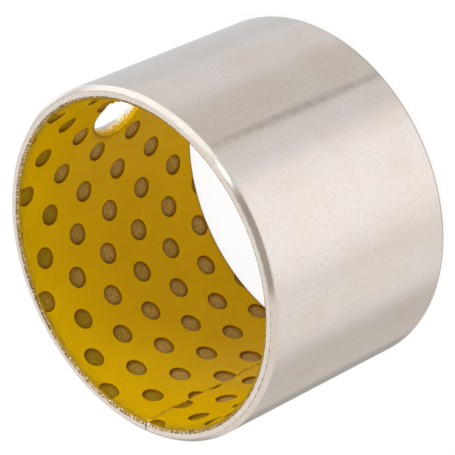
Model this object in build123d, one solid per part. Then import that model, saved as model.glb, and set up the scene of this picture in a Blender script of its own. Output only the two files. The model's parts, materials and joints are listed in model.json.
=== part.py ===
from build123d import *
import math
import os

# A wrapped plain bushing, rolled from one composite strip: a steel back, a thin layer of
# sintered bronze and a moulded polymer lining with pockets that hold grease. The strip is
# bent into a ring until its two edges meet in a straight seam. It stands on its lower end:
# +Z is the bore's axis, and the origin is the middle of the lower end face.

# Driving dimensions, in millimetres and degrees.
BORE_DIAMETER = 40.0
OUTER_DIAMETER = 44.0
WIDTH = 29.75  # nominal 30, at the lower end of its 0.25 tolerance
LINING_THICKNESS = 0.4
BRONZE_THICKNESS = 0.4
OUTER_CHAMFER = 0.6  # 45 degree lead-in at both ends of the steel
BORE_CHAMFER = 0.7  # 45 degree lead-in for the shaft, through the lining and into the bronze

# Both are told from straight above, counterclockwise from +X.
SEAM_DIRECTION = -90.0
SEAM_GAP = 0.14  # closes when the bushing is pressed into its housing
OIL_HOLE_DIRECTION = 148.5
OIL_HOLE_DIAMETER = 8.0
OIL_HOLE_CHAMFER = 0.6  # deburred edge on the outside

# The grease pockets lie on a skewed grid in the flat strip. A place on the strip is
# (distance from the seam, clockwise along the bore, and height above the lower end).
POCKET_MOUTH = 2.5
POCKET_FLOOR = 2.1
POCKET_DEPTH = 0.3
POCKET_SIDES = 10  # near enough to round at this size, and light to draw 160 times
FIRST_POCKET = (0.73, 15.47)
STEP_ALONG_ROW = (4.95, -1.96)
STEP_TO_NEXT_ROW = (3.81, 3.82)

# Rolling drew the far end of the strip in a little. The pockets there are closer together,
# from the first of these distances to the second, and shifted by DRAWN_IN past it.
DRAWING_STARTS = 80.0
DRAWING_ENDS = 108.0
DRAWN_IN = (-1.55, -0.15)

# Radii of the layers, worked out from the sizes above.
BORE_RADIUS = BORE_DIAMETER / 2
OUTER_RADIUS = OUTER_DIAMETER / 2
LINING_BACK_RADIUS = BORE_RADIUS + LINING_THICKNESS
STEEL_INNER_RADIUS = LINING_BACK_RADIUS + BRONZE_THICKNESS
BORE_CHAMFER_RADIUS = BORE_RADIUS + BORE_CHAMFER  # where the lead-in meets the end faces
LINING_END = BORE_CHAMFER - LINING_THICKNESS  # how far the lead-in keeps the lining's back in
STRIP_LENGTH = math.tau * BORE_RADIUS
POCKET_REACH = POCKET_MOUTH / 2

# How far a cutting tool runs past the surface that it cuts.
OVERRUN = 0.5


def radial_axis(direction, height):
    """A plane on the bushing's axis whose normal points outwards in that direction."""
    angle = math.radians(direction)
    outwards = (math.cos(angle), math.sin(angle), 0)
    return Plane(origin=(0, 0, height), x_dir=(0, 0, 1), z_dir=outwards)


def seam_slot():
    """The narrow straight gap between the two edges of the rolled strip."""
    reach = OUTER_RADIUS + OVERRUN
    height = WIDTH + 2 * OVERRUN
    slot = Box(reach, SEAM_GAP, height, align=(Align.MIN, Align.CENTER, Align.MIN))
    return Rot(0, 0, SEAM_DIRECTION) * Pos(0, 0, -OVERRUN) * slot


def oil_hole():
    """The drilled oil hole at half height, with its chamfer on the outside."""
    drill = Cylinder(
        OIL_HOLE_DIAMETER / 2,
        OUTER_RADIUS + OVERRUN,
        align=(Align.CENTER, Align.CENTER, Align.MIN),
    )
    reach = OIL_HOLE_CHAMFER + OVERRUN
    countersink = Cone(
        OIL_HOLE_DIAMETER / 2,
        OIL_HOLE_DIAMETER / 2 + reach,
        reach,
        align=(Align.CENTER, Align.CENTER, Align.MIN),
    )
    tool = drill + Pos(0, 0, OUTER_RADIUS - OIL_HOLE_CHAMFER) * countersink
    return radial_axis(OIL_HOLE_DIRECTION, WIDTH / 2) * tool


def rolled_layer(section):
    """One layer of the strip: its section turned about Z, then cut at the seam and the hole."""
    ring = revolve(section, Axis.Z)
    return ring - seam_slot() - oil_hole()


def steel_section():
    """Half section of the steel back, with its outer corners chamfered."""
    profile = Polyline(
        (STEEL_INNER_RADIUS, 0),
        (OUTER_RADIUS - OUTER_CHAMFER, 0),
        (OUTER_RADIUS, OUTER_CHAMFER),
        (OUTER_RADIUS, WIDTH - OUTER_CHAMFER),
        (OUTER_RADIUS - OUTER_CHAMFER, WIDTH),
        (STEEL_INNER_RADIUS, WIDTH),
        close=True,
    )
    return Plane.XZ * make_face(profile)


def bronze_section():
    """Half section of the sintered bronze, with the outer part of the bore's lead-in."""
    profile = Polyline(
        (BORE_CHAMFER_RADIUS, 0),
        (STEEL_INNER_RADIUS, 0),
        (STEEL_INNER_RADIUS, WIDTH),
        (BORE_CHAMFER_RADIUS, WIDTH),
        (LINING_BACK_RADIUS, WIDTH - LINING_END),
        (LINING_BACK_RADIUS, LINING_END),
        close=True,
    )
    return Plane.XZ * make_face(profile)


def lining_section():
    """Half section of the polymer lining, which the bore's lead-in cuts to a sharp edge."""
    profile = Polyline(
        (LINING_BACK_RADIUS, LINING_END),
        (LINING_BACK_RADIUS, WIDTH - LINING_END),
        (BORE_RADIUS, WIDTH - BORE_CHAMFER),
        (BORE_RADIUS, BORE_CHAMFER),
        close=True,
    )
    return Plane.XZ * make_face(profile)


def drawn_in(around, height):
    """Where a place of the even grid lies after rolling: the shift sets in smoothly."""
    share = (around - DRAWING_STARTS) / (DRAWING_ENDS - DRAWING_STARTS)
    share = min(max(share, 0.0), 1.0)
    share = share * share * (3 - 2 * share)
    return around + DRAWN_IN[0] * share, height + DRAWN_IN[1] * share


def pocket_places():
    """Every place of the pocket grid that meets the strip, part pockets at its edges too."""
    rows = range(-30, 31)
    places = []
    for row in rows:
        for step in rows:
            around = FIRST_POCKET[0] + step * STEP_ALONG_ROW[0] + row * STEP_TO_NEXT_ROW[0]
            height = FIRST_POCKET[1] + step * STEP_ALONG_ROW[1] + row * STEP_TO_NEXT_ROW[1]
            around, height = drawn_in(around, height)
            on_strip = -POCKET_REACH < around < STRIP_LENGTH + POCKET_REACH
            in_width = -POCKET_REACH < height < WIDTH + POCKET_REACH
            if on_strip and in_width:
                places.append((around, height))
    return places


def pocket_punch():
    """The tool that presses one pocket, pointing along +Z: tapered, with a flat nose."""
    length = POCKET_DEPTH + OVERRUN
    taper = (POCKET_MOUTH - POCKET_FLOOR) / 2 / POCKET_DEPTH
    shank = RegularPolygon(POCKET_FLOOR / 2 + taper * length, POCKET_SIDES)
    nose = RegularPolygon(POCKET_FLOOR / 2, POCKET_SIDES)
    punch = loft([shank, Plane.XY.offset(length) * nose])
    return Pos(0, 0, BORE_RADIUS - OVERRUN) * punch


def polymer_lining():
    """The lining with all of its pockets. Those that the seam or an end cuts are part ones."""
    punch = pocket_punch()
    pockets = []
    for around, height in pocket_places():
        direction = SEAM_DIRECTION - math.degrees(around / BORE_RADIUS)
        pockets.append(radial_axis(direction, height) * punch)
    return rolled_layer(lining_section()) - pockets


os.makedirs("parts", exist_ok=True)
export_step(rolled_layer(steel_section()), "parts/steel_backing.step")
export_step(rolled_layer(bronze_section()), "parts/bronze_interlayer.step")
export_step(polymer_lining(), "parts/polymer_lining.step")
print(len(pocket_places()), "grease pockets")
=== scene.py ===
# %% [markdown]
# # A wrapped plain bushing, made in Blender
# The real part is rolled from a flat composite strip: a steel back, a thin layer of sintered
# bronze and a moulded yellow lining with pockets that hold grease. Each layer is modelled here
# the way that it is made: flat on the bench first, with the bore side up, and rolled afterwards.
# Everything is drawn in millimetres and turned to metres when a piece is finished.

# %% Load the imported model
import json
import math

import bmesh
import bpy
from mathutils import Matrix, Vector, noise


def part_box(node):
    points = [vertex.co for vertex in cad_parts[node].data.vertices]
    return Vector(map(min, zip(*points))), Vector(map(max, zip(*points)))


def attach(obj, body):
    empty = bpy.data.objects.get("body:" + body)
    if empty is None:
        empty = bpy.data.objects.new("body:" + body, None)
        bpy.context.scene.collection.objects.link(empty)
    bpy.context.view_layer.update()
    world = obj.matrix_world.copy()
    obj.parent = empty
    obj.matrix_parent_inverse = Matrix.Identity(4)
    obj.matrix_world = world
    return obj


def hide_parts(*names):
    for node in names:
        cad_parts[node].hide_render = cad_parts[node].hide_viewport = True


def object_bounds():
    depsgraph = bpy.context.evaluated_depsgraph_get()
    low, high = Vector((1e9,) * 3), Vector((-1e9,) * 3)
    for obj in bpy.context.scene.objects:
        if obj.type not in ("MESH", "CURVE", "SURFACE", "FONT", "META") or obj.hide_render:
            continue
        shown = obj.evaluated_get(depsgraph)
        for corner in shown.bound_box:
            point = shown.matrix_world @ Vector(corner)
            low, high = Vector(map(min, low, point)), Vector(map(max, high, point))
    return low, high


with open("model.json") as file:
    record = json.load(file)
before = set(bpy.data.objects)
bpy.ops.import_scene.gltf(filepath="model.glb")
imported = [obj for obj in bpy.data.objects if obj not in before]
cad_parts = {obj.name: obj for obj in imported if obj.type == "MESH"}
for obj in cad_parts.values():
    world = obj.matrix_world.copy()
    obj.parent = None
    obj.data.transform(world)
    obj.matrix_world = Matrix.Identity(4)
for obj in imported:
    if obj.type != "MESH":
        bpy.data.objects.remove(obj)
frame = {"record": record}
cad_low, cad_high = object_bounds()
print("CAD box in mm:", [round(1000 * c, 3) for c in (*cad_low, *cad_high)])

# %% [markdown]
# ## Sizes
# The layers' radii, the width and the lead-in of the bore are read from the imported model. Places
# on the flat strip are given in its own coordinates: x is the distance from the seam along the
# bore, y is the height above the lower end, and z points up to the bore side, so a depth below
# the bore face is a negative z.

# %% Sizes of the strip
MM = 0.001


def mount(name):
    """One fastening place of the part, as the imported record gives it."""
    return next(m for m in frame["record"]["mounts"] if m["name"] == name)


BORE_RADIUS = mount("bore")["dims"]["r_mm"]
OUTER_RADIUS = mount("outside")["dims"]["r_mm"]
LINING_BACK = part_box("polymer_lining")[1].x / MM - BORE_RADIUS
BRONZE_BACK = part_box("bronze_interlayer")[1].x / MM - BORE_RADIUS
STEEL_BACK = OUTER_RADIUS - BORE_RADIUS
LINING_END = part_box("polymer_lining")[0].z / MM
BORE_CHAMFER = LINING_BACK + LINING_END
WIDTH = cad_high.z / MM
STRIP_LENGTH = math.tau * BORE_RADIUS

SEAM_DIRECTION = math.radians(-90)
SEAM_GAP = 0.14
OUTER_CHAMFER = 0.6
OIL_HOLE_RADIUS = mount("oil_hole")["dims"]["r_mm"]
OIL_HOLE_CHAMFER = 0.6
OIL_HOLE_AXIS = Vector(mount("oil_hole")["axis"])
oil_hole_direction = math.atan2(OIL_HOLE_AXIS.y, OIL_HOLE_AXIS.x)
OIL_HOLE_ALONG = (SEAM_DIRECTION - oil_hole_direction) % math.tau * BORE_RADIUS
print("layers end at depths", [round(d, 2) for d in (LINING_BACK, BRONZE_BACK, STEEL_BACK)], "mm")
print("bore lead-in", round(BORE_CHAMFER, 2), "mm, oil hole", round(OIL_HOLE_ALONG, 2), "mm along")

# %% [markdown]
# ## Rolling a flat strip
# Rolling is one formula for every layer. A point of the flat strip keeps its height, its
# distance along the strip becomes an angle, and its depth below the bore face is added to the
# bore's radius. The strip is measured along the bore, so all layers share the same angles. A
# bend modifier could do this too, but it goes by each object's own box, and three layers of
# different thickness would no longer fit round each other.

# %% Cut and roll
SAME_PLACE = 1e-5  # points nearer than this lie on a cutting plane
MERGE_DISTANCE = 0.0005  # points nearer to each other than this are merged
NARROW = 0.01  # a small margin when points or edges are picked by their place


def cut(piece, place, direction, faces=None, clear=False):
    """Cut a bmesh with a plane. With clear, what lies in that direction is removed."""
    faces = piece.faces[:] if faces is None else faces
    edges = [e for f in faces for e in f.edges]
    verts = [v for f in faces for v in f.verts]
    geometry = list(dict.fromkeys([*faces, *edges, *verts]))
    result = bmesh.ops.bisect_plane(
        piece, geom=geometry, dist=SAME_PLACE,
        plane_co=place, plane_no=direction, clear_outer=clear,
    )
    return [g for g in result["geom"] if isinstance(g, bmesh.types.BMFace)]


def roll(piece):
    """Bend a flat strip (x along, y across, z up to the bore side) into the ring."""
    for v in piece.verts:
        angle = SEAM_DIRECTION - v.co.x / BORE_RADIUS
        radius = BORE_RADIUS - v.co.z
        v.co = (radius * math.cos(angle), radius * math.sin(angle), v.co.y)


# %% From a bmesh to an object
def to_object(piece, name):
    """Turn a bmesh into a Blender object, still in millimetres."""
    mesh = bpy.data.meshes.new(name)
    piece.to_mesh(mesh)
    piece.free()
    obj = bpy.data.objects.new(name, mesh)
    bpy.context.scene.collection.objects.link(obj)
    return obj


def report(obj):
    """Print how many triangles a piece has, and whether it is closed."""
    piece = bmesh.new()
    piece.from_mesh(obj.data)
    count = sum(len(f.verts) - 2 for f in piece.faces)
    open_edges = sum(not e.is_manifold for e in piece.edges)
    volume = piece.calc_volume(signed=True)
    piece.free()
    print(f"{obj.name}: {count} triangles, {open_edges} open edges, {volume:.0f} mm3")


def rolled(strip, name):
    """Roll a flat strip and turn it into an object."""
    roll(strip)
    obj = to_object(strip, name)
    report(obj)
    return obj


def clamped(share):
    """A number kept between 0 and 1."""
    return min(max(share, 0.0), 1.0)


# %% [markdown]
# ## One pocket of the lining
# The pockets are pressed into the hot lining in a skewed grid, so the surface is one small tile
# repeated. The tile is a parallelogram with a round pocket in its middle: a circle with as many
# points as the tile's border is bridged to it, and the pocket is sunk by insets from rim to
# floor. A number painted on each ring tells the finish how far down the pocket it is. The
# pockets could also be cut out one by one, but that leaves long thin faces between them, and
# they wouldn't shade evenly.

# %% Tile with one pocket
FIRST_POCKET = Vector((0.73, 15.47))
STEP_ALONG_ROW = Vector((4.95, -1.96))
STEP_TO_NEXT_ROW = Vector((3.81, 3.82))
TILE_CUTS = 7  # pieces along each side of a tile
LAND_CUTS = 2  # cuts between a tile's border and its pocket
# From the rim to the floor: ring radius, height of the surface, and the depth number.
POCKET_RINGS = [
    (1.50, 0.000, 0.0),
    (1.42, 0.016, 0.0),
    (1.36, -0.008, 0.0),
    (1.33, -0.070, 0.3),
    (1.30, -0.170, 0.6),
    (1.25, -0.270, 0.8),
    (1.15, -0.305, 1.1),
    (0.92, -0.310, 1.5),
    (0.45, -0.313, 2.0),
]


def pocket_tile():
    """A flat parallelogram of the lining's face, with one pocket in its middle."""
    tile = bmesh.new()
    depth_number = tile.verts.layers.float.new("pocket_depth")
    bmesh.ops.create_grid(tile, x_segments=TILE_CUTS, y_segments=TILE_CUTS, size=0.5)
    inner = [v for v in tile.verts if not v.is_boundary]
    bmesh.ops.delete(tile, geom=inner, context="VERTS")
    for v in tile.verts:
        v.co.xy = v.co.x * STEP_ALONG_ROW + v.co.y * STEP_TO_NEXT_ROW
    sides = 4 * TILE_CUTS
    rim_radius = POCKET_RINGS[0][0]
    bmesh.ops.create_circle(tile, cap_ends=True, segments=sides, radius=rim_radius)
    bridge = bmesh.ops.bridge_loops(tile, edges=tile.edges[:])
    bmesh.ops.subdivide_edges(tile, edges=bridge["edges"], cuts=LAND_CUTS, use_grid_fill=True)
    floor = next(f for f in tile.faces if len(f.verts) == sides)
    for (radius, _, _), (next_radius, height, number) in zip(POCKET_RINGS, POCKET_RINGS[1:]):
        step = (radius - next_radius) * math.cos(math.pi / sides)
        bmesh.ops.inset_region(tile, faces=[floor], thickness=step, use_even_offset=True)
        for v in floor.verts:
            v.co.z = height
            v[depth_number] = number
    middle = bmesh.ops.poke(tile, faces=[floor])["verts"][0]
    middle[depth_number] = POCKET_RINGS[-1][2]
    return tile


# %% [markdown]
# ## The face of the lining
# The tiles are laid side by side and their borders are merged. On the real strip the far end was
# drawn in a little while it was rolled, so the grid is squeezed there. Each pocket moves as a
# whole and stays round, and only the land between the pockets gives way.

# %% Lay the tiles
DRAWING_STARTS = 80.0
DRAWING_ENDS = 108.0
DRAWN_IN = Vector((-1.55, -0.15, 0))
GRID_REACH = 30  # steps and rows of the grid to each side, enough to pass the strip's corners


def drawn_in(place):
    """How far rolling has shifted a place of the even grid."""
    share = clamped((place.x - DRAWING_STARTS) / (DRAWING_ENDS - DRAWING_STARTS))
    return DRAWN_IN * (share * share * (3 - 2 * share))


def tile_places():
    """Where the tiles lie on the flat strip, a little past its edges too."""
    reach = (STEP_ALONG_ROW.length + STEP_TO_NEXT_ROW.length) / 2
    count = range(-GRID_REACH, GRID_REACH + 1)
    for row in count:
        for step in count:
            place = FIRST_POCKET + step * STEP_ALONG_ROW + row * STEP_TO_NEXT_ROW
            along = -reach < place.x < STRIP_LENGTH + reach
            across = -reach < place.y < WIDTH + reach
            if along and across:
                yield place.to_3d()


def lining_face():
    """The whole face of the lining, still without edges."""
    tile = bpy.data.meshes.new("tile")
    one = pocket_tile()
    one.to_mesh(tile)
    one.free()
    face = bmesh.new()
    places = list(tile_places())
    rim = POCKET_RINGS[0][0] + NARROW
    for place in places:
        before = len(face.verts)
        face.from_mesh(tile)
        face.verts.ensure_lookup_table()
        for v in face.verts[before:]:
            in_pocket = v.co.length < rim
            v.co += place
            v.co += drawn_in(place if in_pocket else v.co)
    bmesh.ops.remove_doubles(face, verts=face.verts, dist=2 * MERGE_DISTANCE)
    bpy.data.meshes.remove(tile)
    print(len(places), "tiles,", len(face.faces), "faces")
    return face


# %% [markdown]
# ## The edges of the lining
# The lining's edges aren't sharp. Both ends have a straight lead-in, which guides the shaft in,
# and the sides of the seam are rounded. The face has no edges to bevel yet, so they are shaped by
# pressing its points down, by a depth that depends on how near the edge they are. Real edges are
# worn unevenly, so a slow noise changes how far each of them reaches.

# %% Lead-in and rounded edges
WEAR_LENGTH = 1.7  # over about how many millimetres the wear of an edge changes
LEAD_IN_WEAR = 0.05  # how far the wear moves the lead-in's inner edge
LEAD_IN_BLEND = 0.15  # how far from its edge, to each side, the lead-in starts softly


def round_over(inside, reach, depth):
    """How far a quarter-round edge lies below the face, at a distance inside the edge."""
    if inside >= reach:
        return 0.0
    share = 1 - max(inside, 0.0) / reach
    return depth * (1 - math.sqrt(1 - share * share))


def lead_in(inside, size):
    """How far the straight lead-in lies below the face, with a soft start."""
    below = size - inside
    if below <= -LEAD_IN_BLEND:
        return 0.0
    if below >= LEAD_IN_BLEND:
        return below
    return (below + LEAD_IN_BLEND) ** 2 / (4 * LEAD_IN_BLEND)


def unevenness(point, size):
    """A slow noise from -1 to 1 whose bumps are about that many millimetres wide."""
    return noise.noise(point / size)


# %% [markdown]
# ## The crack
# The soft lining hasn't parted along the steel's straight seam. It tore a little to one side, and
# the tear wanders. It could be drawn as a curve and cut with a knife, but every face beside it
# would have to be cut again. Here the strip keeps its straight border, and the border is shifted
# sideways by an amount that depends on the height. The shift fades out a little way in.

# %% Where the crack runs
LINING_SEAM_GAP = 0.02
# Places along it: height on the strip, and how far it lies to the side of the steel's seam.
CRACK = [
    (-1.0, -0.2), (10.5, -0.38), (12.5, -0.24), (14.2, -0.42), (15.7, -0.66), (17.5, -0.42),
    (21.0, -0.28), (23.3, -0.4), (25.0, -0.3), (27.0, -0.4), (28.4, -0.53), (29.0, -0.3),
    (29.5, -0.05), (31.0, 0.0),
]
CRACK_RAGGED = [(0.08, 0.5), (0.04, 0.15)]  # how far it strays, and over what length
CRACK_REACH = 1.6  # how far from the crack its wandering still shifts the lining


def crack_shift(height):
    """How far the crack in the lining lies to the side of the straight seam."""
    for (low, start), (high, end) in zip(CRACK, CRACK[1:]):
        if height <= high:
            break
    share = (height - low) / (high - low)
    ragged = sum(
        stray * noise.noise((height / length, 3 + 2 * number, 1 + number))
        for number, (stray, length) in enumerate(CRACK_RAGGED)
    )
    return start + (end - start) * share + ragged


def open_crack(strip):
    """Shift the lining near the seam so that its gap follows the crack."""
    for v in strip.verts:
        to_seam = min(v.co.x, STRIP_LENGTH - v.co.x)
        if to_seam < CRACK_REACH:
            v.co.x += crack_shift(v.co.y) * (1 - to_seam / CRACK_REACH)


# %% [markdown]
# ## The lip of the oil hole
# The drill pulled the soft lining down into the hole, so a wide rounded lip runs round it, wider
# on one side than on the other, and at one place a tab of the face is left over. The lip is
# pressed down like the other edges. Only its reach changes with the direction round the hole.

# %% Round the oil hole
LIP_ACROSS = (0.7, 1.15)  # the dragged lip's width, where it is narrowest and widest
LIP_DIRECTION = math.radians(223)  # where it is widest
LIP_DEPTH = 0.37
LIP_WEAR = 0.15  # share by which the wear changes its width
TAB = (math.radians(26), math.radians(46))  # directions where a tab of the face is left over
LIP_AT_TAB = 0.1  # its width there


def hole_place(point):
    """The distance from the oil hole's edge and the direction round it, once rolled."""
    around = BORE_RADIUS * math.sin((point.x - OIL_HOLE_ALONG) / BORE_RADIUS)
    up = point.y - WIDTH / 2
    return math.hypot(around, up) - OIL_HOLE_RADIUS, math.atan2(up, around)


def one_sided(direction, towards, least, most):
    """A size that changes round the oil hole: most in one direction, least in the opposite one."""
    return least + (most - least) * (0.5 + 0.5 * math.cos(direction - towards))


def lip_across(direction):
    """How wide the dragged lip is in a direction round the oil hole."""
    if TAB[0] < direction < TAB[1]:
        return LIP_AT_TAB
    return one_sided(direction, LIP_DIRECTION, *LIP_ACROSS)


# %% Press the edges down
SEAM_EDGE = 0.16  # how far in from the crack the rounding reaches
SEAM_EDGE_DEPTH = 0.08
SEAM_EDGE_WEAR = 0.4  # share by which the wear changes that reach
SEAM_OPENS_FROM = 28.0  # height from which the crack opens more and more towards the end
SEAM_BURR = 0.07  # how high the torn sides of the crack stand up in places
BURR_LENGTH = 0.6
BURR_WIDTH = 0.2  # over about this distance from the crack a burr flattens out
BURR_BIAS = 0.1  # above 0, more than half of the crack has a burr
LEAST_LINING = 0.02  # what is left of the lining wherever it is pressed down


def shape_edges(face):
    """Press down the lining's points near its ends, its seam and the oil hole."""
    for v in face.verts:
        wear = unevenness(v.co, WEAR_LENGTH)
        to_end = min(v.co.y, WIDTH - v.co.y)
        to_seam = min(v.co.x, STRIP_LENGTH - v.co.x) - LINING_SEAM_GAP / 2
        opening = 1 + max(0.0, v.co.y - SEAM_OPENS_FROM)
        seam_edge = SEAM_EDGE * opening * (1 + SEAM_EDGE_WEAR * wear)
        from_hole, direction = hole_place(v.co)
        lip = lip_across(direction) * (1 + LIP_WEAR * wear)
        drops = (
            lead_in(to_end, BORE_CHAMFER + LEAD_IN_WEAR * wear),
            round_over(to_seam, seam_edge, SEAM_EDGE_DEPTH * opening),
            round_over(from_hole, lip, LIP_DEPTH),
        )
        side = 11 if v.co.x < STRIP_LENGTH / 2 else 23  # each side of the crack tears its own way
        burr = SEAM_BURR * max(0.0, noise.noise((side, v.co.y / BURR_LENGTH, 0)) + BURR_BIAS)
        raised = burr * math.exp(-to_seam / BURR_WIDTH)
        v.co.z = max(min(v.co.z, -max(drops)) + raised, LEAST_LINING - LINING_BACK)


# %% [markdown]
# ## From the face to a strip
# Now the face is trimmed to the strip's size and cut finely along its edges, so that there are
# points to press down. Its border is drawn down to the lining's back, and the back is closed with
# one face, which is cut across every few degrees so that it can bend when the strip is rolled. A
# Solidify modifier would be quicker, but it would repeat every pocket on the back, where nobody
# sees it.

# %% Trim and split the face
END_CUTS = (0.36, 0.45, 0.56, 0.66, 0.76, 0.88)
SEAM_CUTS = (0.05, 0.12, 0.2, 0.3, 0.45)
SEAM_STEP = 0.2  # between the short cuts that let the crack wander
LIP_ZONE = (-0.6, 1.4)  # how far in and out from the oil hole's edge the face is split again
LIP_SPLITS = 2


def trim_to_strip(strip):
    """Cut the face to the strip's outline, and cut it along its edges to shape them."""
    seam = LINING_SEAM_GAP / 2
    cut(strip, (seam, 0, 0), (-1, 0, 0), clear=True)
    cut(strip, (STRIP_LENGTH - seam, 0, 0), (1, 0, 0), clear=True)
    cut(strip, (0, LINING_END, 0), (0, -1, 0), clear=True)
    cut(strip, (0, WIDTH - LINING_END, 0), (0, 1, 0), clear=True)
    for step in END_CUTS:
        for across in (step, WIDTH - step):
            cut(strip, (0, across, 0), (0, 1, 0))
    for step in SEAM_CUTS:
        for along in (seam + step, STRIP_LENGTH - seam - step):
            cut(strip, (along, 0, 0), (1, 0, 0))
    reach = seam + SEAM_CUTS[-1] + NARROW
    beside = [
        f for f in strip.faces
        if all(min(v.co.x, STRIP_LENGTH - v.co.x) < reach for v in f.verts)
    ]
    for number in range(1, int(WIDTH / SEAM_STEP)):
        beside = cut(strip, (0, number * SEAM_STEP, 0), (0, 1, 0), faces=beside)


def split_round_hole(strip):
    """Split the face again where the lip of the oil hole will be pressed."""
    low, high = LIP_ZONE
    edges = [e for e in strip.edges if all(low < hole_place(v.co)[0] < high for v in e.verts)]
    bmesh.ops.subdivide_edges(strip, edges=edges, cuts=LIP_SPLITS, use_grid_fill=True)


# %% Lining
BACK_SLICES = 90


def close_back(strip, depth, slices):
    """Draw the border down to the back, and close it with a face cut into narrow slices."""
    border = [e for e in strip.edges if e.is_boundary]
    walls = bmesh.ops.extrude_edge_only(strip, edges=border)["geom"]
    for v in (g for g in walls if isinstance(g, bmesh.types.BMVert)):
        v.co.z = -depth
    rim = [g for g in walls if isinstance(g, bmesh.types.BMEdge) and g.is_boundary]
    back = bmesh.ops.contextual_create(strip, geom=rim)["faces"]
    for slice_number in range(1, slices):
        place = (STRIP_LENGTH * slice_number / slices, 0, 0)
        back = cut(strip, place, (1, 0, 0), faces=back)
    many_sided = [f for f in strip.faces if len(f.verts) > 4]
    bmesh.ops.triangulate(strip, faces=many_sided, ngon_method="BEAUTY")


def flat_lining():
    """The lining as a closed flat strip."""
    strip = lining_face()
    trim_to_strip(strip)
    split_round_hole(strip)
    shape_edges(strip)
    open_crack(strip)
    close_back(strip, LINING_BACK, BACK_SLICES)
    return strip


lining = rolled(flat_lining(), "lining")

# %% [markdown]
# ## The metal layers
# The two metal layers keep one section all along the strip. It is drawn once as a flat face: a
# rectangle whose corners are bevelled for the chamfers, and on the steel again, with a small
# radius, for the rounding that tumbling and plating give. It is then extruded along the strip in
# short steps, so that the strip can be rolled. A thick-walled cylinder would be closer to hand,
# but it has no seam, and its ends would still need their chamfers.

# %% Sections and strips
STEEL_SLICES = 360
CORNER_ROUNDING = 0.15
ROUNDING_STEPS = 4
SHEARED_CORNER = 0.3  # how far the strip's far end is rounded where it was sheared


def section(top, bottom):
    """The rectangle between two depths below the bore face, as one face across the strip."""
    piece = bmesh.new()
    bmesh.ops.create_grid(piece, x_segments=1, y_segments=1, size=0.5)
    stand_up = Matrix(((0, 0, 1), (1, 0, 0), (0, 1, 0)))
    bmesh.ops.rotate(piece, cent=(0, 0, 0), matrix=stand_up, verts=piece.verts)
    bmesh.ops.scale(piece, vec=(1, WIDTH, bottom - top), verts=piece.verts)
    middle = (SEAM_GAP / 2, WIDTH / 2, -(top + bottom) / 2)
    bmesh.ops.translate(piece, vec=middle, verts=piece.verts)
    return piece


def bevel(piece, verts=None, edges=None, offset=0.1, segments=1):
    """Bevel corner points or edges with the settings that the editor would use."""
    bmesh.ops.bevel(
        piece, geom=verts or edges, offset=offset, offset_type="OFFSET", segments=segments,
        profile=0.5, affect="VERTICES" if verts else "EDGES", material=-1, clamp_overlap=False,
    )


def extrude(piece, faces, shift, keep=False):
    """Extrude faces together with their edges, move the new ones, and return them."""
    edges = dict.fromkeys(e for f in faces for e in f.edges)
    result = bmesh.ops.extrude_face_region(piece, geom=[*faces, *edges], use_keep_orig=keep)
    moved = [g for g in result["geom"] if isinstance(g, bmesh.types.BMVert)]
    bmesh.ops.translate(piece, vec=shift, verts=moved)
    return [g for g in result["geom"] if isinstance(g, bmesh.types.BMFace)]


def draw_along(piece, slices):
    """Extrude a section along the strip in equal steps, up to the other side of the seam."""
    step = (STRIP_LENGTH - SEAM_GAP) / slices
    end = extrude(piece, piece.faces[:], (step, 0, 0), keep=True)
    for _ in range(slices - 1):
        end = extrude(piece, end, (step, 0, 0))
    bmesh.ops.recalc_face_normals(piece, faces=piece.faces)


# %% [markdown]
# ## The steel back
# Its outer corners are chamfered at both ends. The two edges that meet at the seam were sheared
# from a coil: the near one kept sharp corners, and the far one was rolled over a little on the
# side of the bronze. Two cuts across, above and below the oil hole, keep the faces short where
# the drill will pass, so that the drilled edge doesn't pull at the shading of the rest.

# %% Steel
HOLE_ZONE = 5.5  # half the height of the stretch that the two cuts enclose


def at_sheared_corner(v):
    """Whether a point lies on the far end's corner, where the steel meets the bronze."""
    far = STRIP_LENGTH - SEAM_GAP / 2
    return abs(v.co.x - far) < NARROW and abs(v.co.z + BRONZE_BACK) < NARROW


def flat_steel():
    """The steel back, chamfered along its outer corners."""
    strip = section(BRONZE_BACK, STEEL_BACK)
    outer = [v for v in strip.verts if v.co.z < -(BRONZE_BACK + STEEL_BACK) / 2]
    bevel(strip, verts=outer, offset=OUTER_CHAMFER)
    corners = [v for v in strip.verts if v.co.z < -BRONZE_BACK - NARROW]
    bevel(strip, verts=corners, offset=CORNER_ROUNDING, segments=ROUNDING_STEPS)
    draw_along(strip, STEEL_SLICES)
    sheared = [e for e in strip.edges if all(at_sheared_corner(v) for v in e.verts)]
    bevel(strip, edges=sheared, offset=SHEARED_CORNER, segments=ROUNDING_STEPS)
    for height in (WIDTH / 2 - HOLE_ZONE, WIDTH / 2 + HOLE_ZONE):
        cut(strip, (0, height, 0), (0, 1, 0))
    return strip


steel = rolled(flat_steel(), "steel_back")

# %% [markdown]
# ## The bronze layer
# Only the lead-in shows the bronze: a slanted band 0.4 mm wide that the turning tool cut through
# the grains. The band is split into small faces, and a cell pattern says for each point how near
# it is to the middle of a grain. Its points stand up there and sink into the pores between. A
# bump texture alone would leave the band's two edges as smooth as before.

# %% Bronze
BRONZE_SLICES = 1400
BAND_CUTS = 4
GRAIN_SIZE = 0.27  # about twice the real one, so that it shows
GRAIN_HEIGHT = 0.05
GRAIN_SHARPNESS = 1.6  # higher makes the pores narrower
LEVEL_GRAIN = 0.7  # a point with this number stays where the tool cut it


def grain(point):
    """How near a point is to the middle of its grain: 1 in the middle, 0 in the pores."""
    nearest, second = noise.voronoi(point / GRAIN_SIZE)[0][:2]
    return clamped(GRAIN_SHARPNESS * (second - nearest))


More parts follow.
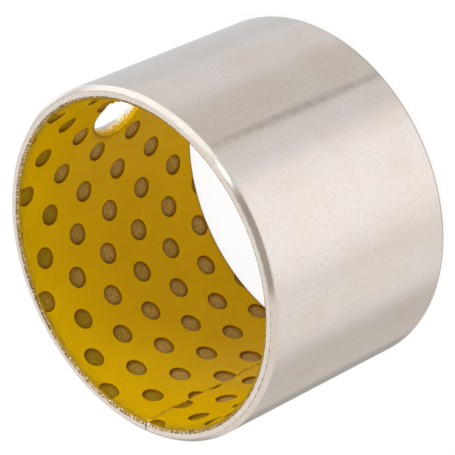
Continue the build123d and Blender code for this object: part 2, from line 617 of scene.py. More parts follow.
def is_slanted(edge):
    """Whether an edge runs down the lead-in: across the strip and down at the same time."""
    across = edge.verts[0].co - edge.verts[1].co
    return abs(across.x) < NARROW and abs(across.y) > NARROW and abs(across.z) > NARROW


def flat_bronze():
    """The bronze strip, with the outer part of the bore's lead-in."""
    strip = section(LINING_BACK, BRONZE_BACK)
    inner = [v for v in strip.verts if v.co.z > -(LINING_BACK + BRONZE_BACK) / 2]
    bevel(strip, verts=inner, offset=LINING_END)
    draw_along(strip, BRONZE_SLICES)
    slanted = [e for e in strip.edges if is_slanted(e)]
    bmesh.ops.subdivide_edges(strip, edges=slanted, cuts=BAND_CUTS, use_grid_fill=True)
    for v in strip.verts:
        on_band = min(v.co.y, WIDTH - v.co.y) < LINING_END - NARROW
        if on_band and v.co.z > NARROW - BRONZE_BACK:
            v.co.z += GRAIN_HEIGHT * (grain(v.co) - LEVEL_GRAIN)
    return strip


bronze = rolled(flat_bronze(), "bronze_layer")

# %% [markdown]
# ## The oil hole
# The hole is drilled through the rolled ring, so its wall is straight in every layer. The drill
# is the outline of half its section, spun once round its axis: straight up to the steel's
# outside, then flared for the countersink, whose outer edge is rounded a little. A Boolean
# modifier with it is applied to each layer, and the drill is thrown away.

# %% Outline of the drill
DRILL_SIDES = 96
COUNTERSINK_START = OUTER_RADIUS - OIL_HOLE_CHAMFER
COUNTERSINK_RADIUS = OIL_HOLE_RADIUS + OIL_HOLE_CHAMFER
# Half the drill's section: distance from the bore's axis, and radius round the hole's axis.
# The three points at the steel's outside stand for the rounded outer edge of the countersink.
DRILL_OUTLINE = [
    (BORE_RADIUS / 2, 0),
    (BORE_RADIUS / 2, OIL_HOLE_RADIUS),
    (COUNTERSINK_START, OIL_HOLE_RADIUS),
    (OUTER_RADIUS - 0.08, COUNTERSINK_RADIUS - 0.08),
    (OUTER_RADIUS, COUNTERSINK_RADIUS + 0.03),
    (OUTER_RADIUS + 0.08, COUNTERSINK_RADIUS + 0.2),
    (OUTER_RADIUS + 1, COUNTERSINK_RADIUS + 3),
    (OUTER_RADIUS + 1, 0),
]
print("the drill flares from", round(COUNTERSINK_START, 2), "mm off the bore's axis")

# %% Drill the oil hole
def drill():
    """The drill, standing in the ring's wall along the oil hole's axis."""
    tool = bmesh.new()
    points = [tool.verts.new((radius, 0, along)) for along, radius in DRILL_OUTLINE]
    for start, end in zip(points, points[1:]):
        tool.edges.new((start, end))
    bmesh.ops.spin(
        tool, geom=tool.verts[:] + tool.edges[:], axis=(0, 0, 1), cent=(0, 0, 0),
        angle=math.tau, steps=DRILL_SIDES, use_merge=True,
    )
    bmesh.ops.remove_doubles(tool, verts=tool.verts, dist=MERGE_DISTANCE)
    bmesh.ops.recalc_face_normals(tool, faces=tool.faces)
    turn = Vector((0, 0, 1)).rotation_difference(OIL_HOLE_AXIS).to_matrix()
    bmesh.ops.rotate(tool, cent=(0, 0, 0), matrix=turn, verts=tool.verts)
    bmesh.ops.translate(tool, vec=(0, 0, WIDTH / 2), verts=tool.verts)
    return to_object(tool, "drill")


def drill_through(obj, tool):
    """Cut the tool out of an object for good."""
    modifier = obj.modifiers.new("drill", "BOOLEAN")
    modifier.object = tool
    modifier.operation = "DIFFERENCE"
    modifier.solver = "EXACT"
    bpy.context.view_layer.update()
    evaluated = obj.evaluated_get(bpy.context.evaluated_depsgraph_get())
    drilled = bpy.data.meshes.new_from_object(evaluated)
    obj.modifiers.clear()
    obj.data = drilled


oil_drill = drill()
report(oil_drill)
for layer in (lining, steel, bronze):
    drill_through(layer, oil_drill)
    report(layer)
bpy.data.objects.remove(oil_drill)

# %% [markdown]
# ## The torn lip
# The drill has dragged some of the soft lining down the wall of the hole, over the bronze. That
# is a thin ragged skirt: a flat sheet, one side of it the lip and the other the torn edge, is
# wrapped round just inside the wall, rolled with the same formula as the layers, and made solid.
# It could be sculpted by hand, but a noise gives the same tears each time. It belongs to the
# lining, so it is joined to it.

# %% Flat skirt
SKIRT_AROUND = 420
SKIRT_DOWN = 7
SKIRT_START = 0.3  # depth at which it begins, inside the lip
SKIRT_REACH = (0.08, 1.0)  # how far down it goes on from the lip, where it is shortest and longest
SKIRT_DIRECTION = math.radians(175)
SKIRT_RAGGED = [(0.32, 0.9), (0.32, 0.3), (0.24, 0.12)]  # share of that reach, and length
SKIRT_THICKNESS = 0.03
SKIRT_CLEARANCE = 0.015  # between its back and the wall of the hole
SKIRT_LIFT = 0.03  # how far its torn edge comes away from the wall, on average
SKIRT_LIFT_LENGTH = 0.7


def skirt_reach(direction):
    """How far down the wall the lining was dragged: most at the far side, and raggedly."""
    place = Vector((math.cos(direction), math.sin(direction), 0)) * OIL_HOLE_RADIUS
    ragged = sum(part * unevenness(place, length) for part, length in SKIRT_RAGGED)
    return one_sided(direction, SKIRT_DIRECTION, *SKIRT_REACH) * (1 + ragged)


def flat_skirt():
    """The skirt in the strip's flat coordinates, wrapped round the hole."""
    sheet = bmesh.new()
    bmesh.ops.create_grid(sheet, x_segments=SKIRT_AROUND, y_segments=SKIRT_DOWN, size=0.5)
    inner_radius = OIL_HOLE_RADIUS - SKIRT_CLEARANCE
    for v in sheet.verts:
        direction = v.co.x * math.tau
        down = 0.5 - v.co.y
        depth = SKIRT_START + down * (LINING_BACK - SKIRT_START + skirt_reach(direction))
        place = Vector((math.cos(direction), math.sin(direction), down / 2)) * OIL_HOLE_RADIUS
        lift = SKIRT_LIFT * down * (1 + unevenness(place, SKIRT_LIFT_LENGTH))
        radius = inner_radius - lift
        from_axis = math.asin(radius * math.cos(direction) / (BORE_RADIUS + depth))
        v.co.x = OIL_HOLE_ALONG + BORE_RADIUS * from_axis
        v.co.y = WIDTH / 2 + radius * math.sin(direction)
        v.co.z = -depth
    return sheet


# %% Skirt on the wall of the oil hole
def add_skirt(obj):
    """Roll the skirt, make it solid and join it to the lining."""
    skirt = flat_skirt()
    roll(skirt)
    bmesh.ops.remove_doubles(skirt, verts=skirt.verts, dist=MERGE_DISTANCE)
    bmesh.ops.recalc_face_normals(skirt, faces=skirt.faces)
    bmesh.ops.solidify(skirt, geom=skirt.faces[:], thickness=SKIRT_THICKNESS)
    bmesh.ops.recalc_face_normals(skirt, faces=skirt.faces)
    print("skirt:", len(skirt.faces), "faces,", sum(not e.is_manifold for e in skirt.edges), "open")
    loose = bpy.data.meshes.new("skirt")
    skirt.to_mesh(loose)
    skirt.free()
    joined = bmesh.new()
    joined.from_mesh(obj.data)
    joined.from_mesh(loose)
    joined.to_mesh(obj.data)
    joined.free()
    bpy.data.meshes.remove(loose)


add_skirt(lining)
report(lining)

# %% [markdown]
# ## Coordinates for the finishes
# Grain, streaks and stains follow the strip, not the room: the turning tool's streaks run round
# the ring, and a stain keeps to one edge. So every point is told its place on the flat strip,
# once the holes are in. The finishes read that place, in millimetres, from the attribute "strip".
# The lining also gets four numbers: how far a point lies inside the stretch along its ends that
# is streaked and darkened, partly as painted shade, how torn it is along the crack, how far down
# the lip of the oil hole it was dragged, and how thinly the drill scraped it down the wall. The
# bronze gets one, which says how near a point is to a pore. An unwrapped UV map would do too,
# but it would have to be scaled back to millimetres for each layer.

# %% Find and store a place on the strip
def flat_place(point, wandering):
    """Where a point of the rolled ring lies on the flat strip."""
    angle = (SEAM_DIRECTION - math.atan2(point.y, point.x)) % math.tau
    along = angle * BORE_RADIUS
    seam = crack_shift(point.z) if wandering else 0.0
    if along > STRIP_LENGTH + seam:
        along -= STRIP_LENGTH
    return Vector((along, point.z, BORE_RADIUS - math.hypot(point.x, point.y)))


def paint(obj, name, kind, values):
    """Store one value for each point of a mesh, for its finish to read."""
    field = "vector" if kind == "FLOAT_VECTOR" else "value"
    attribute = obj.data.attributes.new(name, kind, "POINT")
    flat = [c for value in values for c in value] if field == "vector" else values
    attribute.data.foreach_set(field, flat)


# %% Numbers for the finishes
STREAKED_AND_SHADED_WIDTH = BORE_CHAMFER + 0.4  # the darkened, streaked stretch along the ends of the lining: the lead-in and 0.4 mm of land, partly painted shade
ROUGH_STRETCHES = ((9.0, 14.5), (24.6, 29.4))  # heights between which the crack is torn most
TEAR_ALONG_CRACK = (0.12, 0.39)  # how far in it is torn, on calm and on rough stretches
SCRAPED_DEPTH = 0.8  # how far down the oil hole's wall the dragged lining is thinnest


def cut_away(place):
    """How far inside the darkened stretch a place lies, in millimetres; it starts 0.4 mm in from
    the lead-in's inner edge.
    """
    return max(0.0, STREAKED_AND_SHADED_WIDTH - min(place.y, WIDTH - place.y))


def torn(place):
    """How torn the lining is at a place of the strip, from 0 to 1."""
    shift = crack_shift(place.y)
    to_crack = min(abs(place.x - shift), abs(place.x - STRIP_LENGTH - shift))
    rough = any(low < place.y < high for low, high in ROUGH_STRETCHES)
    return max(0.0, 1 - to_crack / TEAR_ALONG_CRACK[rough])


def dragged(place):
    """How far down the lip of the oil hole a place of the lining lies, from 0 to 1."""
    from_hole, _ = hole_place(place)
    return clamped(-place.z / LIP_DEPTH) if from_hole < LIP_ACROSS[1] else 0.0


def scraped(place):
    """How thinly the lining was scraped down the wall of the oil hole, from 0 to 1."""
    return clamped((-place.z - LINING_BACK) / SCRAPED_DEPTH)


def in_pore(place):
    """How near a place of the bronze is to a pore, from 0 to 1."""
    return 1 - grain(place)


# %% Paint the numbers on the layers
NUMBERS = {
    lining: {"lead_in": cut_away, "torn": torn, "dragged": dragged, "scraped": scraped},
    steel: {},
    bronze: {"pore": in_pore},
}
for layer, numbers in NUMBERS.items():
    places = [flat_place(v.co, layer == lining) for v in layer.data.vertices]
    paint(layer, "strip", "FLOAT_VECTOR", places)
    for name, number in numbers.items():
        paint(layer, name, "FLOAT", [number(place) for place in places])
    print(layer.name, "has", len(places), "points painted with:", "strip", *numbers)


# %% [markdown]
# ## Finishes
# Each finish starts from what the material is. One function turns the sRGB hex values that a
# designer would pick into Blender's linear colours, and one adds a node with its settings and
# links. Patterns are sized in real millimetres on the strip: a noise texture's scale is how many
# bumps fit in one millimetre, and a pattern that is stretched along the strip looks turned. A
# finish is then laid like paint: a base colour, and coats over it that show only in places.

# %% Colours and nodes
def colour(hex_value):
    """An sRGB hex value as a linear colour."""
    channels = [int(hex_value[i:i + 2], 16) / 255 for i in (1, 3, 5)]
    linear = [c / 12.92 if c <= 0.04045 else ((c + 0.055) / 1.055) ** 2.4 for c in channels]
    return (*linear, 1.0)


def add_node(tree, kind, inputs=None, output=0, **settings):
    """Add a node, set or link its inputs, set its own fields, and return one output socket."""
    node = tree.nodes.new("ShaderNode" + kind)
    for name, value in settings.items():
        setattr(node, name, value)
    for name, value in (inputs or {}).items():
        if isinstance(value, bpy.types.NodeSocket):
            tree.links.new(value, node.inputs[name])
        else:
            node.inputs[name].default_value = value
    return node.outputs[output]


def new_finish(name):
    """A new material, its node tree, its shader, and the place on the strip in millimetres."""
    material = bpy.data.materials.new(name)
    material.use_nodes = True
    tree = material.node_tree
    place = add_node(tree, "Attribute", output="Vector", attribute_name="strip")
    return material, tree, tree.nodes["Principled BSDF"], place


# %% Patterns and coats
def mottled(tree, place, size, low=0.0, high=1.0, edges=(0.35, 0.65), detail=3.0):
    """Random spots of that size in millimetres, from low between the spots to high in them."""
    spots = add_node(tree, "TexNoise", {"Vector": place, "Scale": 1 / size, "Detail": detail})
    return add_node(
        tree, "MapRange",
        {"Value": spots, "From Min": edges[0], "From Max": edges[1], "To Min": low, "To Max": high},
        interpolation_type="SMOOTHSTEP",
    )


def streaked(tree, place, shrink, size, **spots):
    """The same, with each spot drawn out along the direction whose factor is below 1."""
    drawn = add_node(tree, "VectorMath", {0: place, 1: shrink}, operation="MULTIPLY")
    return mottled(tree, drawn, size, **spots)


def painted(tree, name, start, end, top=1.0):
    """Where a number painted on the mesh is high: 0 up to start, rising softly to top at end."""
    number = add_node(tree, "Attribute", output="Fac", attribute_name=name)
    return add_node(
        tree, "MapRange", {"Value": number, "From Min": start, "From Max": end, "To Max": top},
        interpolation_type="SMOOTHSTEP",
    )


def layered(tree, base, *coats):
    """Lay coats over a base colour. A coat is a pair: where it shows, and its colour."""
    for where, coat in coats:
        below, above = (colour(c) if isinstance(c, str) else c for c in (base, coat))
        base = add_node(tree, "Mix", {0: where, 6: below, 7: above}, output=2, data_type="RGBA")
    return base


# %% [markdown]
# ## Tin-plated steel
# The steel is flash-plated with tin against rust, and tumbled. That gives the eye a dull warm
# silver with a satin reflection, faintly clouded where the plating is thicker, with a few short
# scratches from tumbling. The plating is thin on the sharp edge between the end face and the
# chamfer, so a broken brownish line of bare, stained steel shows there, most of all on the
# stretch that rubbed against something in its box. A fainter dark line of painted shade follows
# the lower end, on the outside, where the chamfer begins, for the shade of the table close below.

# %% Stains on the steel
EDGE_STAIN_DEPTH = STEEL_BACK - OUTER_CHAMFER + 0.03
EDGE_STAIN_WIDTH = 0.04
# painted shade along the lower end, near the table: its width, how far down the chamfer, and how
# dark
LOWER_SHADE_WIDTH = 0.2  # along the outside edge of the lower end
LOWER_SHADE_DEPTH = 0.1  # how far it goes down the chamfer
LOWER_SHADE_SHARE = 0.4
NEAR_END = 0.3  # up to this far from an end, a point is on its end face or its chamfer
EDGE_RUBBED_AT = (103.5, 5.5)  # where along the strip, and how far to each side


def lower_end_painted_shade(tree, height, level):
    """The fainter dark line along the outside of the lower end: painted shade from the table below.
    """
    line = add_node(
        tree, "Math", {0: height, 1: OUTER_CHAMFER, 2: LOWER_SHADE_WIDTH}, operation="COMPARE",
    )
    outside = add_node(tree, "MapRange", {
        "Value": level, "From Min": LOWER_SHADE_DEPTH - STEEL_BACK, "From Max": -STEEL_BACK,
        "To Max": LOWER_SHADE_SHARE,
    })
    return add_node(tree, "Math", {0: line, 1: outside}, operation="MULTIPLY")


def edge_stain_and_shade(tree, place):
    """The broken line of stained steel between each end face and its chamfer, and the painted shade
    along the lower end.
    """
    along, height, level = add_node(tree, "SeparateXYZ", {0: place}).node.outputs
    on_level = add_node(
        tree, "Math", {0: level, 1: -EDGE_STAIN_DEPTH, 2: EDGE_STAIN_WIDTH}, operation="COMPARE",
    )
    low_end = add_node(tree, "Math", {0: height, 1: NEAR_END}, operation="LESS_THAN")
    high_end = add_node(tree, "Math", {0: height, 1: WIDTH - NEAR_END}, operation="GREATER_THAN")
    at_end = add_node(tree, "Math", {0: low_end, 1: high_end}, operation="ADD")
    line = add_node(tree, "Math", {0: on_level, 1: at_end}, operation="MULTIPLY")
    middle, reach = EDGE_RUBBED_AT
    rubbed = add_node(tree, "Math", {0: along, 1: middle, 2: reach}, operation="COMPARE")
    wear = add_node(tree, "MapRange", {"Value": rubbed, "To Min": 0.45, "To Max": 1.0})
    broken = streaked(tree, place, (0.35, 1, 1), 0.3, low=0.25, high=0.95, edges=(0.5, 0.62))
    worn = add_node(tree, "Math", {0: broken, 1: wear}, operation="MULTIPLY")
    inner_line = add_node(tree, "Math", {0: line, 1: worn}, operation="MULTIPLY")
    return add_node(
        tree, "Math", {0: inner_line, 1: lower_end_painted_shade(tree, height, level)}, operation="MAXIMUM",
    )


# %% Steel finish
PLATING_GRAIN = 0.4  # a few times coarser than the real one, so that it shows


def tin_plated_steel():
    """Dull silver with a warm cast, faintly clouded, with a satin reflection."""
    material, tree, shader, place = new_finish("tin_plated_steel")
    shader.inputs["Metallic"].default_value = 1.0
    clouds = mottled(tree, place, 6.0, edges=(0.25, 0.75), detail=6.0)
    smears = streaked(tree, place, (1, 0.12, 1), 1.6, high=0.5)
    grain = mottled(tree, place, PLATING_GRAIN, high=0.3, edges=(0.4, 0.7))
    scratches = streaked(tree, place, (0.25, 1, 1), 0.22, high=0.3, edges=(0.7, 0.78), detail=1.0)
    base = layered(
        tree, "#E6DFD8",
        (clouds, "#EAE7E5"),
        (smears, "#EEE8E2"),
        (grain, "#D2CBC4"),
        (scratches, "#8C8279"),
        # stained edges, with painted shade along the outside of the lower end
        (edge_stain_and_shade(tree, place), "#6E5A48"),
    )
    tree.links.new(base, shader.inputs["Base Color"])
    tree.links.new(mottled(tree, place, 1.2, 0.10, 0.14), shader.inputs["Roughness"])
    dents = mottled(tree, place, 0.9)
    normal = add_node(tree, "Bump", {"Strength": 0.06, "Distance": 0.004 * MM, "Height": dents})
    tree.links.new(normal, shader.inputs["Normal"])
    return material


# %% [markdown]
# ## Sintered bronze
# Round bronze grains were sintered to the steel with their pores left open, and the lining was
# pressed into them. The turning tool has cut through all of it, so the eye sees pale bright
# grains with brown pores at the outer edge of the band, and near the lining the polymer fills
# and covers them. The last half millimetre at the sheared end is smeared over with tin.

# %% Bronze finish
POLYMER_FILLED = (0.46, 0.62)  # depths between which the polymer in the pores gives out
SMEARED_END = 0.55


def sintered_bronze():
    """Bright cut grains of bronze with brown pores, covered by the polymer at the lining."""
    material, tree, shader, place = new_finish("sintered_bronze")
    shader.inputs["Roughness"].default_value = 0.38
    tones = mottled(tree, place, 0.3, detail=0.0)
    pore = painted(tree, "pore", 0.45, 0.95)
    grains = layered(tree, "#C9A566", (tones, "#FBF3DA"), (pore, "#785A2C"))
    ragged = mottled(tree, place, 0.35, -0.1, 0.1, edges=(0.3, 0.7))
    along, _, level = add_node(tree, "SeparateXYZ", {0: place}).node.outputs
    depth = add_node(tree, "Math", {0: ragged, 1: level}, operation="SUBTRACT")
    bare = add_node(
        tree, "MapRange",
        {"Value": depth, "From Min": POLYMER_FILLED[0], "From Max": POLYMER_FILLED[1]},
        interpolation_type="SMOOTHSTEP",
    )
    smeared = add_node(
        tree, "Math", {0: along, 1: STRIP_LENGTH - SMEARED_END}, operation="GREATER_THAN",
    )
    base = layered(tree, "#8F7308", (bare, grains), (smeared, "#D6CCBC"))
    tree.links.new(base, shader.inputs["Base Color"])
    metal = add_node(tree, "Math", {0: bare, 1: smeared}, operation="MAXIMUM")
    tree.links.new(metal, shader.inputs["Metallic"])
    return material


# %% [markdown]
# ## Moulded acetal
# The lining is acetal, moulded onto the bronze. Acetal is smooth and a little waxy, so it
# reflects softly, and its colour is deep and even with only slow, faint clouds. The wall of a
# pocket is painted dark as painted shade, which runs on to the edge of its floor, and the floor
# took the tool's grain. The floors are painted browner towards the lower end, a painted sheen of
# reflected light, which gives out towards the upper end. The lead-in was turned afterwards,
# which leaves fine streaks round the ring, and it is darkened, with a little of the land beside
# it, partly as painted shade. The sides of the crack are torn, and the lip of the oil hole is
# crushed and darkened, partly as painted shade.

# %% Colours of the pockets and the lead-in
POCKET_GRAIN = 0.28  # a little coarser than the real one, so that it shows
SHEEN_FADES = (17.5, 26.5)  # heights between which the painted brownish sheen of the pocket floors gives out


def pocket_colours(tree, place, land, on_lead_in):
    """The land's colour, with painted shade down the wall and on the floor's edge, grainy brown on
    a pocket's floor, and browner lower down as a painted sheen.
    """
    grains = mottled(tree, place, POCKET_GRAIN, edges=(0.3, 0.7), detail=1.0)
    _, height, _ = add_node(tree, "SeparateXYZ", {0: place}).node.outputs
    upwards = add_node(
        tree, "MapRange",
        {"Value": height, "From Min": SHEEN_FADES[0], "From Max": SHEEN_FADES[1]},
        interpolation_type="SMOOTHSTEP",
    )
    drift = mottled(tree, place, 9.0, -0.25, 0.25)
    out_of_sheen = add_node(tree, "Math", {0: upwards, 1: drift}, operation="ADD")
    # the floors' grain colours: browner lower down as a painted sheen, olive above
    dark = layered(tree, "#8F732C", (out_of_sheen, "#7C640A"))
    pale = layered(tree, "#BA9A5C", (out_of_sheen, "#98801E"))
    # darker olive where the lead-in's darkened stretch crosses a floor, partly painted shade
    floor = layered(tree, dark, (grains, pale), (on_lead_in, "#866C06"))
    # painted shade: the wall is dark, and the dark runs on to the edge of the floor
    wall_painted_shade = painted(tree, "pocket_depth", 0.1, 0.6)
    floor_past_painted_shade = painted(tree, "pocket_depth", 0.7, 1.95)
    return layered(tree, land, (wall_painted_shade, "#795300"), (floor_past_painted_shade, floor))


def lead_in_streaks_and_shade(tree, place, land, on_lead_in):
    """The land's colour, streaked where the tool has turned the lead-in, and darkened there and a
    little beyond, partly as painted shade.
    """
    streaks = streaked(tree, place, (0.12, 1, 1), 0.14, edges=(0.3, 0.7))
    # streaks of the turned lead-in over a darker olive that is partly painted shade
    turned_and_shaded = layered(tree, "#866A00", (streaks, "#A28000"))
    return layered(tree, land, (on_lead_in, turned_and_shaded))


# %% Lining finish
def damaged_colours(tree, place, sound):
    """The sound lining's colour, torn at the crack, crushed and darkened on the lip, partly as
    painted shade, and scraped thin below.
    """
    flecks = mottled(tree, place, 0.35, edges=(0.3, 0.7), detail=2.0)
    tear = layered(tree, "#946A00", (flecks, "#D6AC2C"))
    crushed_and_shaded = layered(tree, "#966C00", (flecks, "#C49800"))
    thin = add_node(tree, "Attribute", output="Fac", attribute_name="scraped")
    scrapes = mottled(tree, place, 0.22, -0.35, 0.35, edges=(0.3, 0.7), detail=1.0)
    thin = add_node(tree, "Math", {0: thin, 1: scrapes}, operation="ADD")
    thin = add_node(
        tree, "MapRange", {"Value": thin, "From Min": 0.45, "From Max": 1.1, "To Max": 0.8},
        interpolation_type="SMOOTHSTEP",
    )
    return layered(
        tree, sound,
        (painted(tree, "torn", 0.1, 0.7), tear),
        # the lip crushed, and darkened where it faces the lamp: partly painted shade
        (painted(tree, "dragged", 0.1, 0.6, top=0.5), crushed_and_shaded),
        (thin, "#E9DBAE"),
    )


def moulded_acetal():
    """Golden yellow acetal with a soft gloss, with its pockets, its turned ends and its damage."""
    material, tree, shader, place = new_finish("moulded_acetal")
    shader.inputs["IOR"].default_value = 1.48
    shader.inputs["Specular IOR Level"].default_value = 0.05
    land = layered(tree, "#C9A200", (mottled(tree, place, 6.0), "#CDA600"))
    # the lead-in and a strip of land beside it, where the streaks and the painted shade go
    on_lead_in = painted(tree, "lead_in", 0.0, 0.7)
    base = lead_in_streaks_and_shade(tree, place, land, on_lead_in)
    base = pocket_colours(tree, place, base, on_lead_in)
    base = damaged_colours(tree, place, base)
    tree.links.new(base, shader.inputs["Base Color"])
    tree.links.new(mottled(tree, place, 1.5, 0.26, 0.36), shader.inputs["Roughness"])
    return material


# %% [markdown]
# ## Dressing the pieces
# Each piece now gets its real size in metres, its finish, and the body that carries it, and the
# solid of the imported model that it stands for is hidden. Faces are shaded smoothly, except
# across edges that are sharper than an angle. On the metals the large faces lead the shading, so
# that flats look flat. The lining is round everywhere, and it keeps its plain shading.

# %% Dress the pieces
def dress(obj, material, node, sharp_above, even_normals=True):
    """Finish a piece: real size, shading, material, its body, and hiding the CAD node that it
    stands for.
    """
    obj.data.transform(Matrix.Scale(MM, 4))
    obj.data.materials.clear()
    obj.data.materials.append(material)
    obj.data.shade_smooth()
    obj.data.set_sharp_from_angle(angle=math.radians(sharp_above))
    if even_normals:
        obj.modifiers.new("even_normals", "WEIGHTED_NORMAL").keep_sharp = True
    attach(obj, "root")
    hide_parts(node)


dress(steel, tin_plated_steel(), "steel_backing", 32)
dress(bronze, sintered_bronze(), "bronze_interlayer", 60)
dress(lining, moulded_acetal(), "polymer_lining", 50, even_normals=False)

# %% [markdown]
# ## Camera
# The camera looks down into the bore from one side and is rolled over, so that the ring seems to
# lie on its side. The ring itself could be laid over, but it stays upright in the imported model's
# frame, so that everything fits. The camera is far away with a long lens, as for a catalogue
# picture.

# %% Camera
CAMERA_AZIMUTH = 32.267
CAMERA_ELEVATION = 40.131
CAMERA_ROLL = -114.706
CAMERA_DISTANCE = 354.45
CAMERA_AIM = Vector((0.229, -0.138, 14.733))
LENS = 234.61
SENSOR = 36.0
# The camera's turn: its columns are right, up and towards the camera.
VIEW_TURN = (
    Matrix.Rotation(math.radians(90 + CAMERA_AZIMUTH), 3, "Z")
    @ Matrix.Rotation(math.radians(90 - CAMERA_ELEVATION), 3, "X")
    @ Matrix.Rotation(math.radians(CAMERA_ROLL), 3, "Z")
)

lens = bpy.data.cameras.new("camera")
lens.sensor_width = SENSOR
lens.lens = LENS
lens.clip_start = 0.01
lens.clip_end = 20
camera = bpy.data.objects.new("camera", lens)
camera_place = (CAMERA_AIM + CAMERA_DISTANCE * VIEW_TURN.col[2]) * MM
camera.matrix_world = Matrix.Translation(camera_place) @ VIEW_TURN.to_4x4()
bpy.context.scene.collection.objects.link(camera)
bpy.context.scene.camera = camera
print("camera at", [round(c / MM, 1) for c in camera_place], "mm")

# %% [markdown]
# ## Studio
# Bright metal shows the room more than its own colour, so the room is laid out like a product
# studio, with soft panels and dark flags. They are painted into the world as round soft patches.
# Each is placed by its direction in the view: the clock angle (0 right, 90 up) and the angle off
# the line towards the camera. Lamps could stand there instead, but their edges would be sharp in
# the metal. Camera rays see plain white, and only reflections see the panels.

# %% Studio background
ROOM_TONE = (0.76, 0.73, 0.72)
# Name, clock angle, angle off axis, core radius, reach (all degrees) and colour of each patch.
PATCHES = [
    ("lower_sweep", -90, 80, 20, 60, (0.84, 0.78, 0.70)),
    ("lower_right_card", -46, 139, 8, 26, (0.61, 0.57, 0.53)),
    ("end_card", -155, 101, 12, 30, (0.90, 0.85, 0.79)),
    ("window_frame", -14, 100, 10, 30, (0.86, 0.82, 0.79)),
    ("right_window", 16, 83, 5, 34, (1.06, 1.01, 0.99)),
    ("upper_card", 68, 101, 4, 20, (0.66, 0.62, 0.58)),
    ("line_flag", 58.5, 93.5, 0.5, 2.8, (0.41, 0.38, 0.36)),
    ("left_softbox", 140, 86, 14, 36, (1.25, 1.22, 1.18)),
    ("rear_card", 103, 155, 10, 26, (0.68, 0.68, 0.69)),
    ("rear_left", 165, 160, 6, 13, (1.15, 1.14, 1.10)),
    ("rear_flag", -60, 170, 8, 19, (0.40, 0.38, 0.35)),
    ("low_flag", -105, 142, 4, 14, (0.50, 0.47, 0.45)),
    ("hole_card", 122, 50, 14, 26, (1.20, 1.18, 1.12)),
    ("hole_card_left", 172, 58, 14, 24, (1.20, 1.18, 1.12)),
    ("countersink_card", 138, 136, 7, 17, (1.20, 1.18, 1.14)),
    ("camera_dark", -89, 14, 22, 29, (0.44, 0.38, 0.33)),
    ("near_spot", 143, 24, 3, 8, (1.6, 1.55, 1.45)),
]
AMBIENT = 0.94  # the even light that matt surfaces get
print(len(PATCHES), "patches in the room")

# %% Paint the world
def studio_direction(clock, off_axis):
    """A direction in the world, from its place in the view."""
    clock, off_axis = math.radians(clock), math.radians(off_axis)
    seen = Vector((
        math.cos(clock) * math.sin(off_axis),
        math.sin(clock) * math.sin(off_axis),
        math.cos(off_axis),
    ))
    return VIEW_TURN @ seen


def paint_world():
    """The world: plain white for the camera, patches for reflections, grey for light."""
    world = bpy.data.worlds.new("studio")
    world.use_nodes = True
    tree = world.node_tree
    direction = add_node(tree, "TexCoord", output="Generated")
    room = (*ROOM_TONE, 1.0)
    for name, clock, off_axis, core, reach, tone in PATCHES:
        towards = studio_direction(clock, off_axis)
        facing = add_node(
            tree, "VectorMath", {0: direction, 1: towards}, "Value", operation="DOT_PRODUCT",
        )
        edges = (math.cos(math.radians(reach)), math.cos(math.radians(core)))
        on_patch = add_node(
            tree, "MapRange", {"Value": facing, "From Min": edges[0], "From Max": edges[1]},
            interpolation_type="SMOOTHSTEP", label=name,
        )
        room = layered(tree, room, (on_patch, (*tone, 1.0)))
    ray = add_node(tree, "LightPath").node.outputs
    plain = add_node(
        tree, "Math", {0: ray["Is Camera Ray"], 1: ray["Is Transmission Ray"]},
        operation="MAXIMUM",
    )
    even_light = (AMBIENT, AMBIENT, AMBIENT, 1.0)
    seen = layered(tree, even_light, (ray["Is Glossy Ray"], room), (plain, "#FFFFFF"))
    tree.links.new(seen, tree.nodes["Background"].inputs["Color"])
    world.cycles.sampling_method = "NONE"
    bpy.context.scene.world = world


paint_world()

# %% [markdown]
# ## Table and lamps
# The ring stands on a pale table that the camera sees as white, with a trace of its shadow. The
# table could simply be white, but then it would need so much light that the ring burns out, so
# most of what the camera sees of it is a glow. The bright metal doesn't mirror it: reflections
# show the painted room alone. Two soft lamps give the yellow lining, which is matt, its light
# and shade, and they don't show in the metal either.

# %% Table
FLOOR_SIZE = 1.5  # in metres
FLOOR_DROP = 0.02  # below the lower end, so that the two don't touch
SHADOW_SHARE = 0.1


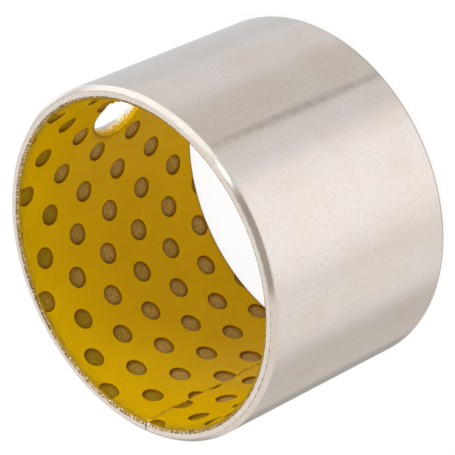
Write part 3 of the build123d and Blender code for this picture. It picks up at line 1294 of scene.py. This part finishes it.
def white_floor():
    """A pale table that the camera sees as white with a faint shadow."""
    material = bpy.data.materials.new("pale_table")
    material.use_nodes = True
    tree = material.node_tree
    tree.nodes.remove(tree.nodes["Principled BSDF"])
    ray = add_node(tree, "LightPath").node.outputs
    matt = add_node(tree, "BsdfDiffuse", {"Color": colour("#F1F1F1")})
    glow = add_node(tree, "Emission", {"Strength": 1.0})
    clear = add_node(tree, "BsdfTransparent")
    shaded = add_node(tree, "MixShader", {0: SHADOW_SHARE, 1: glow, 2: matt})
    seen = add_node(tree, "MixShader", {0: ray["Is Camera Ray"], 1: matt, 2: shaded})
    not_there = add_node(
        tree, "Math", {0: ray["Is Glossy Ray"], 1: ray["Is Transmission Ray"]},
        operation="MAXIMUM",
    )
    surface = add_node(tree, "MixShader", {0: not_there, 1: seen, 2: clear})
    tree.links.new(surface, tree.nodes["Material Output"].inputs["Surface"])
    return material


table = bmesh.new()
bmesh.ops.create_grid(table, x_segments=1, y_segments=1, size=FLOOR_SIZE / MM / 2)
bmesh.ops.translate(table, vec=(0, 0, -FLOOR_DROP), verts=table.verts)
table = to_object(table, "table")
table.data.transform(Matrix.Scale(MM, 4))
table.data.materials.append(white_floor())

# %% Lamps
def soft_lamp(name, clock, off_axis, distance, size, power):
    """A square soft lamp, in metres and watts, that doesn't show in the object's reflections."""
    lamp = bpy.data.lights.new(name, "AREA")
    lamp.size = size
    lamp.energy = power
    obj = bpy.data.objects.new(name, lamp)
    towards = studio_direction(clock, off_axis)
    aim = Vector((0, 0, WIDTH / 2)) * MM
    obj.location = aim + towards * distance
    obj.rotation_mode = "QUATERNION"
    obj.rotation_quaternion = towards.to_track_quat("Z", "Y")
    obj.visible_glossy = False
    bpy.context.scene.collection.objects.link(obj)


soft_lamp("key_lamp", clock=135, off_axis=65, distance=0.5, size=0.3, power=1.2)
soft_lamp("fill_lamp", clock=-135, off_axis=40, distance=0.5, size=0.3, power=1.25)

# %% [markdown]
# Colours are shown with the standard view.

bpy.context.scene.view_settings.view_transform = "Standard"
